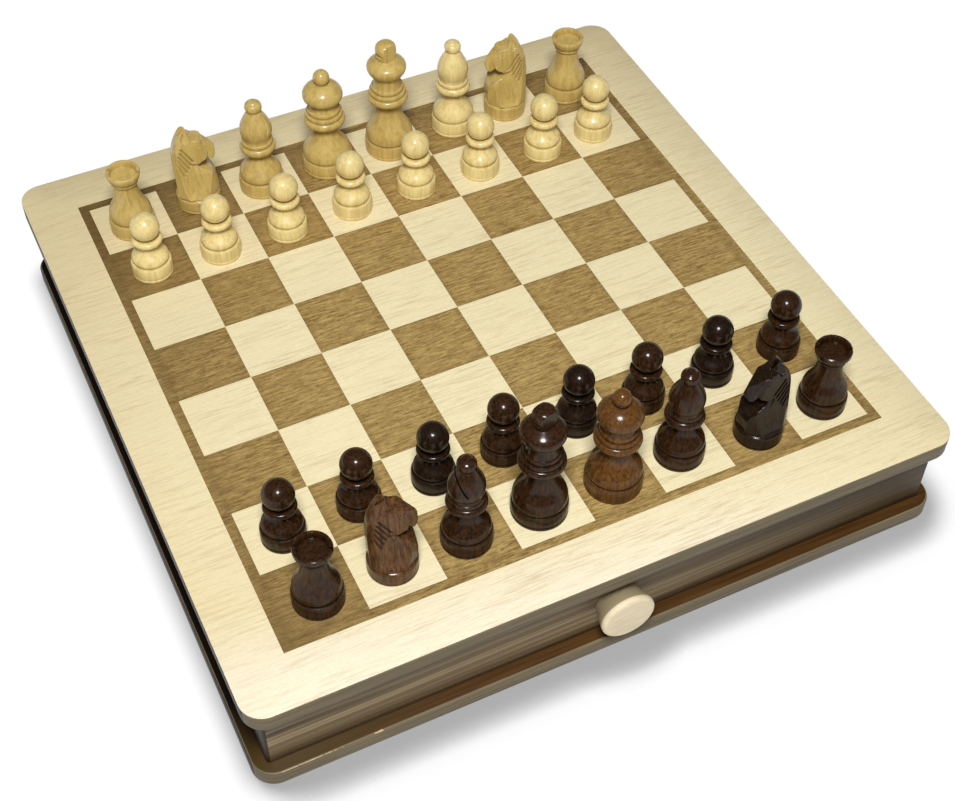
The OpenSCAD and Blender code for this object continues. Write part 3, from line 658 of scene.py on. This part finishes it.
def painted_groove_shade(tree, colour, vein, most):
    """The colour, taken towards that of the veins down in the turned grooves, as painted shade."""
    groove_w = 1.6 * MM
    open_side = add_node(
        tree, "ShaderNodeAmbientOcclusion", {"Distance": groove_w}, samples=8, only_local=True
    )
    gathered = add_node(
        tree,
        "ShaderNodeMapRange",
        {"Value": open_side.outputs["AO"], "From Min": 0.85, "From Max": 0.4, "To Max": most},
    )
    # Painted shade: half the vein colour, laid into the grooves
    groove_shade_colour = opaque(tuple(c * 0.5 for c in vein))
    return tint(tree, colour, groove_shade_colour, gathered.outputs["Result"])


def sheesham(name, wood, vein):
    """Sheesham turned on a lathe and lacquered: red-brown with near-black veins up the man, glossy."""
    material, tree, place = new_material(name)
    veins = figure(tree, place, (1.1, 1.1, 16), detail=4, roughness=0.65, twist=0.5, contrast=(0.36, 0.68))
    pores = figure(tree, place, (0.3, 0.3, 4), detail=2, contrast=(0.4, 0.6))
    colour = tint(tree, opaque(vein), opaque(wood), veins)
    colour = tint(tree, colour, opaque(vein), pores, strength=0.3)
    colour = painted_groove_shade(tree, colour, vein, most=0.75)
    surface = lathe_finish(tree, place, pores)
    finish_wood(
        tree,
        colour,
        roughness=0.5,
        height=surface,
        depth=0.006 * MM,
        ior=1.15,
        coat=0.46,
        coat_roughness=0.16,
    )
    return material


def boxwood(name, wood, vein):
    """Boxwood turned on a lathe and lacquered: cream or honey, faint grain up the man, satin gloss."""
    material, tree, place = new_material(name)
    veins = figure(tree, place, (2.2, 2.2, 26), detail=4, roughness=0.6, twist=0.7, contrast=(0.42, 0.66))
    pores = figure(tree, place, (0.5, 0.5, 5), detail=2, contrast=(0.35, 0.65))
    colour = tint(tree, opaque(wood), opaque(vein), veins, strength=0.62)
    colour = tint(tree, colour, opaque(vein), pores, strength=0.18)
    colour = painted_groove_shade(tree, colour, vein, most=0.45)
    surface = lathe_finish(tree, place, pores)
    finish_wood(
        tree,
        colour,
        roughness=0.42,
        height=surface,
        depth=0.005 * MM,
        ior=1.4,
        coat=0.4,
        coat_roughness=0.11,
    )
    return material


def background_paper(look):
    """White background paper: matt, white where it is seen, and greyer close to what stands on it.

    Each point of it looks for the box behind it and to its left, so the soft shade lies in front of
    the box and to its right.
    """
    material, tree, _ = new_material("background_paper")
    path = add_node(tree, "ShaderNodeLightPath").outputs
    seen = add_node(
        tree, "ShaderNodeMath", {0: path["Is Camera Ray"], 1: path["Is Glossy Ray"]}, operation="MAXIMUM"
    )
    seen = add_node(
        tree,
        "ShaderNodeMath",
        {0: seen.outputs["Value"], 1: path["Is Transmission Ray"]},
        operation="MAXIMUM",
    )
    leaning = add_node(tree, "ShaderNodeCombineXYZ", {"X": -0.38, "Y": 0.6, "Z": 0.7})
    open_sky = add_node(
        tree,
        "ShaderNodeAmbientOcclusion",
        {"Distance": look.shadow_reach, "Normal": leaning.outputs["Vector"]},
        samples=24,
    )
    light = add_node(
        tree, "ShaderNodeMapRange", {"Value": open_sky.outputs["AO"], "From Min": 0.53, "From Max": 0.855}
    )
    fall_off, darkest_shade = 1.8, 0.42
    light = add_node(tree, "ShaderNodeMath", {0: light.outputs["Result"], 1: fall_off}, operation="POWER")
    light = add_node(tree, "ShaderNodeMapRange", {"Value": light.outputs["Value"], "To Min": darkest_shade})
    close_by = add_node(tree, "ShaderNodeAmbientOcclusion", {"Distance": look.contact_reach}, samples=12)
    darkest_contact = 0.52
    contact = add_node(
        tree,
        "ShaderNodeMapRange",
        {"Value": close_by.outputs["AO"], "From Min": 0.5, "To Min": darkest_contact},
    )
    shade = add_node(
        tree,
        "ShaderNodeMath",
        {0: light.outputs["Result"], 1: contact.outputs["Result"]},
        operation="MINIMUM",
    )
    matt = add_node(tree, "ShaderNodeBsdfDiffuse", {"Color": opaque(linear("F2F2F2"))})
    white = add_node(
        tree,
        "ShaderNodeEmission",
        {"Color": opaque(linear("FFFFFF")), "Strength": shade.outputs["Value"]},
    )
    both = add_node(
        tree,
        "ShaderNodeMixShader",
        {0: seen.outputs["Value"], 1: matt.outputs["BSDF"], 2: white.outputs["Emission"]},
    )
    add_node(tree, "ShaderNodeOutputMaterial", {"Surface": both.outputs["Shader"]})
    return material


# ---------------------------------------------------------------------------------------------
# Pieces
# ---------------------------------------------------------------------------------------------


def paint(node, material):
    """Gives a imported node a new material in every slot."""
    for slot in NODES[node].material_slots:
        slot.material = material


def merged_copy(node):
    """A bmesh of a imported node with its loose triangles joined."""
    shape = bmesh.new()
    shape.from_mesh(NODES[node].data)
    bmesh.ops.remove_doubles(shape, verts=shape.verts[:], dist=MERGE_GAP)
    return shape


def place_piece(node, shape, material, smooth_angle=SMOOTH_ANGLE):
    """Makes a finished piece from a bmesh: it stands for the node, and rides where the node rode."""
    mesh = bpy.data.meshes.new(node + "_finished")
    for face in shape.faces:
        face.smooth = face.calc_area() < LARGE_FACE
    shape.to_mesh(mesh)
    shape.free()
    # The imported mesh's own normals would hide the eased shape
    if "custom_normal" in mesh.attributes:
        mesh.attributes.remove(mesh.attributes["custom_normal"])
    mesh.set_sharp_from_angle(angle=math.radians(smooth_angle))
    mesh.materials.append(material)
    piece = bpy.data.objects.new(node + "_finished", mesh)
    bpy.context.scene.collection.objects.link(piece)
    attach(piece, BODY_OF[node])
    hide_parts(node)
    return piece


def sharp_edges(shape):
    """The edges of a board that are sharp enough to be eased."""
    return [
        edge
        for edge in shape.edges
        if edge.is_manifold and edge.calc_face_angle(0.0) > math.radians(ARRIS_ANGLE)
    ]


def ease_edges(shape, edges, width):
    """Rounds some edges of a bmesh, as sandpaper does."""
    bmesh.ops.bevel(
        shape,
        geom=edges,
        offset=width,
        offset_type="OFFSET",
        affect="EDGES",
        segments=2,
        profile=0.5,
        material=-1,
        clamp_overlap=True,
    )


def on_board_rim(edge):
    """Whether an edge lies on the face of the playing board, outside its field."""
    rim_w, face_depth = 17 * MM, 0.01 * MM
    return all(
        v.co.z > BOARD_HIGH.z - face_depth
        and (abs(v.co.x) > BOARD_HIGH.x - rim_w or abs(v.co.y) > BOARD_HIGH.y - rim_w)
        for v in edge.verts
    )


def make_board(look):
    """Playing board: veneer with its upper arris rubbed round, the stained squares and the core."""
    veneer = merged_copy("face_veneer")
    rim = [edge for edge in sharp_edges(veneer) if on_board_rim(edge)]
    ease_edges(veneer, rim, look.arris)
    place_piece("face_veneer", veneer, sliced_maple(look))
    paint("stained_squares", stained_maple(look))
    place_piece("top_board", merged_copy("top_board"), lacquered_edge(look))


def make_case(look, edges):
    """Bottom board with eased arrises, and the walls."""
    board = merged_copy("bottom_board")
    ease_edges(board, sharp_edges(board), look.arris)
    place_piece("bottom_board", board, mahogany_board(look, edges))
    wall = dark_wall(look)
    for node in ("left_wall", "right_wall", "centre_wall"):
        paint(node, wall)


def make_drawers(look):
    """Both drawers: walnut fronts, birch boxes, turned knobs and their screws."""
    walnut = sliced_walnut(look)
    birch = birch_ply(look)
    maple = turned_maple(look)
    steel = zinc_plated_steel(look)
    for drawer in ("front_drawer", "rear_drawer"):
        place_piece(drawer + "_front", merged_copy(drawer + "_front"), walnut)
        for panel in ("left_side", "right_side", "back", "bottom"):
            paint(f"{drawer}_{panel}", birch)
        place_piece(drawer + "_knob", merged_copy(drawer + "_knob"), maple)
        place_piece(drawer + "_knob_screw", merged_copy(drawer + "_knob_screw"), steel)


def men_material(node, look):
    """The wood of one man, made once and shared by every man cut from it."""
    if node == "dark_queen":
        name, kind, wood, vein = "lacquered_light_sheesham", sheesham, look.queen, look.queen_vein
    elif node in BLACK_MEN:
        name, kind, wood, vein = "lacquered_dark_sheesham", sheesham, look.black, look.black_vein
    # Paler brown: partly the knight's own wood, partly painted sheen on its flat sides
    elif node in BROWN_AND_SHEEN_MEN:
        name, kind, wood, vein = "lacquered_brown_sheesham_and_sheen", sheesham, look.brown, look.brown_vein
    elif node.startswith("dark_"):
        name, kind, wood, vein = "lacquered_sheesham", sheesham, look.dark, look.dark_vein
    elif node in HONEY_MEN:
        name, kind, wood, vein = "lacquered_honey_boxwood", boxwood, look.honey, look.honey_vein
    else:
        name, kind, wood, vein = "lacquered_boxwood", boxwood, look.pale, look.pale_vein
    return bpy.data.materials.get(name) or kind(name, wood, vein)


def make_turned_men(look):
    """Every man from the lathe, with its arrises rounded by sanding and lacquer."""
    for node in TURNED:
        piece = place_piece(node, merged_copy(node), men_material(node, look))
        eased = piece.modifiers.new("sanded_arrises", "BEVEL")
        eased.width = look.turned_arris
        eased.segments = 2
        eased.limit_method = "ANGLE"
        eased.angle_limit = math.radians(TURNED_ARRIS_ANGLE)
        eased.harden_normals = False


def regridded_copy(node, grid):
    """A bmesh of a packed knight with its carving cut anew on an even grid, so it can be sanded."""
    rough = bpy.data.meshes.new(node + "_rough")
    shape = merged_copy(node)
    shape.to_mesh(rough)
    shape.free()
    blank = bpy.data.objects.new(node + "_blank", rough)
    bpy.context.scene.collection.objects.link(blank)
    carving = blank.modifiers.new("carving", "REMESH")
    carving.mode = "VOXEL"
    carving.voxel_size = grid
    graph = bpy.context.evaluated_depsgraph_get()
    carved = bpy.data.meshes.new_from_object(blank.evaluated_get(graph))
    bpy.data.objects.remove(blank)
    bpy.data.meshes.remove(rough)
    shape = bmesh.new()
    shape.from_mesh(carved)
    bpy.data.meshes.remove(carved)
    return shape


def make_knights(look):
    """The four knights: carved faces run into each other as after sanding by hand."""
    foot_depth = 0.02 * MM
    widest_angle = 180
    for node in KNIGHTS:
        shape = regridded_copy(node, look.carving_grid)
        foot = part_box(node)[0].z + foot_depth
        for _ in range(look.carving_rounds):
            bmesh.ops.smooth_vert(
                shape,
                verts=[v for v in shape.verts if v.co.z > foot],
                factor=0.5,
                use_axis_x=True,
                use_axis_y=True,
                use_axis_z=True,
            )
        place_piece(node, shape, men_material(node, look), smooth_angle=widest_angle)


# ---------------------------------------------------------------------------------------------
# Studio
# ---------------------------------------------------------------------------------------------


def stand_camera(look, aim, forward):
    """Camera at its distance from the point that it looks at."""
    view = bpy.data.cameras.new("studio_camera")
    view.lens = look.lens
    view.sensor_width = 36.0
    camera = bpy.data.objects.new("studio_camera", view)
    bpy.context.scene.collection.objects.link(camera)
    camera.location = aim - forward * look.distance
    camera.rotation_euler = forward.to_track_quat("-Z", "Y").to_euler()
    camera.rotation_euler.rotate_axis("Z", look.roll)
    bpy.context.scene.camera = camera
    return camera


def hang_lamp(look, spot, aim):
    """A round, soft lamp at a spot, facing a point."""
    light = bpy.data.lights.new("key_lamp", "AREA")
    light.shape = "DISK"
    light.size = look.key_size
    light.energy = look.key
    holder = bpy.data.objects.new("key_lamp", light)
    bpy.context.scene.collection.objects.link(holder)
    holder.location = spot
    holder.rotation_euler = (aim - spot).to_track_quat("-Z", "Y").to_euler()


def light_room(strength):
    """The same white light from every side."""
    world = bpy.data.worlds.new("room")
    world.use_nodes = True
    tree = world.node_tree
    tree.nodes.clear()
    glow = add_node(
        tree, "ShaderNodeBackground", {"Color": opaque(linear("FFFFFF")), "Strength": strength}
    )
    add_node(tree, "ShaderNodeOutputWorld", {"Surface": glow.outputs["Background"]})
    bpy.context.scene.world = world


def lay_floor(look):
    """A floor of background paper, wide enough to fill every view, just below the box."""
    floor_size, drop = 30.0, 0.1 * MM
    sheet = bmesh.new()
    bmesh.ops.create_grid(sheet, x_segments=1, y_segments=1, size=floor_size)
    mesh = bpy.data.meshes.new("studio_floor")
    sheet.to_mesh(mesh)
    sheet.free()
    mesh.materials.append(background_paper(look))
    floor = bpy.data.objects.new("studio_floor", mesh)
    bpy.context.scene.collection.objects.link(floor)
    floor.location.z = CAD_BOX[0].z - drop


def make_studio(look):
    """Camera, soft lamp above it, even room light and a pale floor that keeps the shadow."""
    bpy.context.scene.view_settings.view_transform = "Standard"
    aim = Vector(look.aim)
    level = math.cos(look.dip)
    forward = Vector(
        (math.sin(look.bearing) * level, math.cos(look.bearing) * level, -math.sin(look.dip))
    )
    camera = stand_camera(look, aim, forward)
    up = camera.rotation_euler.to_matrix() @ Vector((0, 1, 0))
    hang_lamp(look, camera.location + up * look.key_rise - forward * look.key_back, aim)
    light_room(look.sky)
    lay_floor(look)


# ---------------------------------------------------------------------------------------------
# Operators, panel and registration
# ---------------------------------------------------------------------------------------------


class CHESSBOX_OT_board(bpy.types.Operator):
    """Finish the playing board: veneer, stained squares and painted edge"""

    bl_idname = "chessbox.board"
    bl_label = "Playing Board"

    def execute(self, context):
        make_board(context.scene.chess_board)
        return {"FINISHED"}


class CHESSBOX_OT_case(bpy.types.Operator):
    """Finish the bottom board and the walls of the case"""

    bl_idname = "chessbox.case"
    bl_label = "Case"

    def execute(self, context):
        make_case(context.scene.chess_case, context.scene.chess_board)
        return {"FINISHED"}


class CHESSBOX_OT_drawers(bpy.types.Operator):
    """Finish both drawers with their knobs and screws"""

    bl_idname = "chessbox.drawers"
    bl_label = "Drawers"

    def execute(self, context):
        make_drawers(context.scene.chess_drawers)
        return {"FINISHED"}


class CHESSBOX_OT_turned_men(bpy.types.Operator):
    """Finish the kings, queens, bishops, rooks and pawns"""

    bl_idname = "chessbox.turned_men"
    bl_label = "Turned Men"

    def execute(self, context):
        make_turned_men(context.scene.chess_men)
        return {"FINISHED"}


class CHESSBOX_OT_knights(bpy.types.Operator):
    """Finish the carved knights"""

    bl_idname = "chessbox.knights"
    bl_label = "Carved Knights"

    def execute(self, context):
        make_knights(context.scene.chess_men)
        return {"FINISHED"}


class CHESSBOX_OT_studio(bpy.types.Operator):
    """Set up the camera, the lamp, the room light and the floor"""

    bl_idname = "chessbox.studio"
    bl_label = "Studio"

    def execute(self, context):
        make_studio(context.scene.chess_studio)
        return {"FINISHED"}


class CHESSBOX_PT_build(bpy.types.Panel):
    """Lists the steps that dress the chess box"""

    bl_label = "Chess Box"
    bl_idname = "CHESSBOX_PT_build"
    bl_space_type = "VIEW_3D"
    bl_region_type = "UI"
    bl_category = "Chess Box"

    def draw(self, context):
        for step in STEPS:
            self.layout.operator(step.bl_idname)


SETTINGS = {
    "chess_board": ChessBoardLook,
    "chess_case": ChessCaseLook,
    "chess_drawers": ChessDrawerLook,
    "chess_men": ChessMenLook,
    "chess_studio": ChessStudio,
}

STEPS = (
    CHESSBOX_OT_board,
    CHESSBOX_OT_case,
    CHESSBOX_OT_drawers,
    CHESSBOX_OT_turned_men,
    CHESSBOX_OT_knights,
    CHESSBOX_OT_studio,
)


def register():
    """Registers the settings, the operators and the panel."""
    for group in SETTINGS.values():
        bpy.utils.register_class(group)
    for step in STEPS:
        bpy.utils.register_class(step)
    bpy.utils.register_class(CHESSBOX_PT_build)
    for name, group in SETTINGS.items():
        setattr(bpy.types.Scene, name, bpy.props.PointerProperty(type=group))


def unregister():
    """Takes everything back in the opposite order."""
    for name in reversed(SETTINGS):
        delattr(bpy.types.Scene, name)
    bpy.utils.unregister_class(CHESSBOX_PT_build)
    for step in reversed(STEPS):
        bpy.utils.unregister_class(step)
    for group in reversed(SETTINGS.values()):
        bpy.utils.unregister_class(group)


def main():
    """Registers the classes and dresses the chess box."""
    register()
    bpy.ops.chessbox.board()
    bpy.ops.chessbox.case()
    bpy.ops.chessbox.drawers()
    bpy.ops.chessbox.turned_men()
    bpy.ops.chessbox.knights()
    bpy.ops.chessbox.studio()


if __name__ == "__main__":
    main()
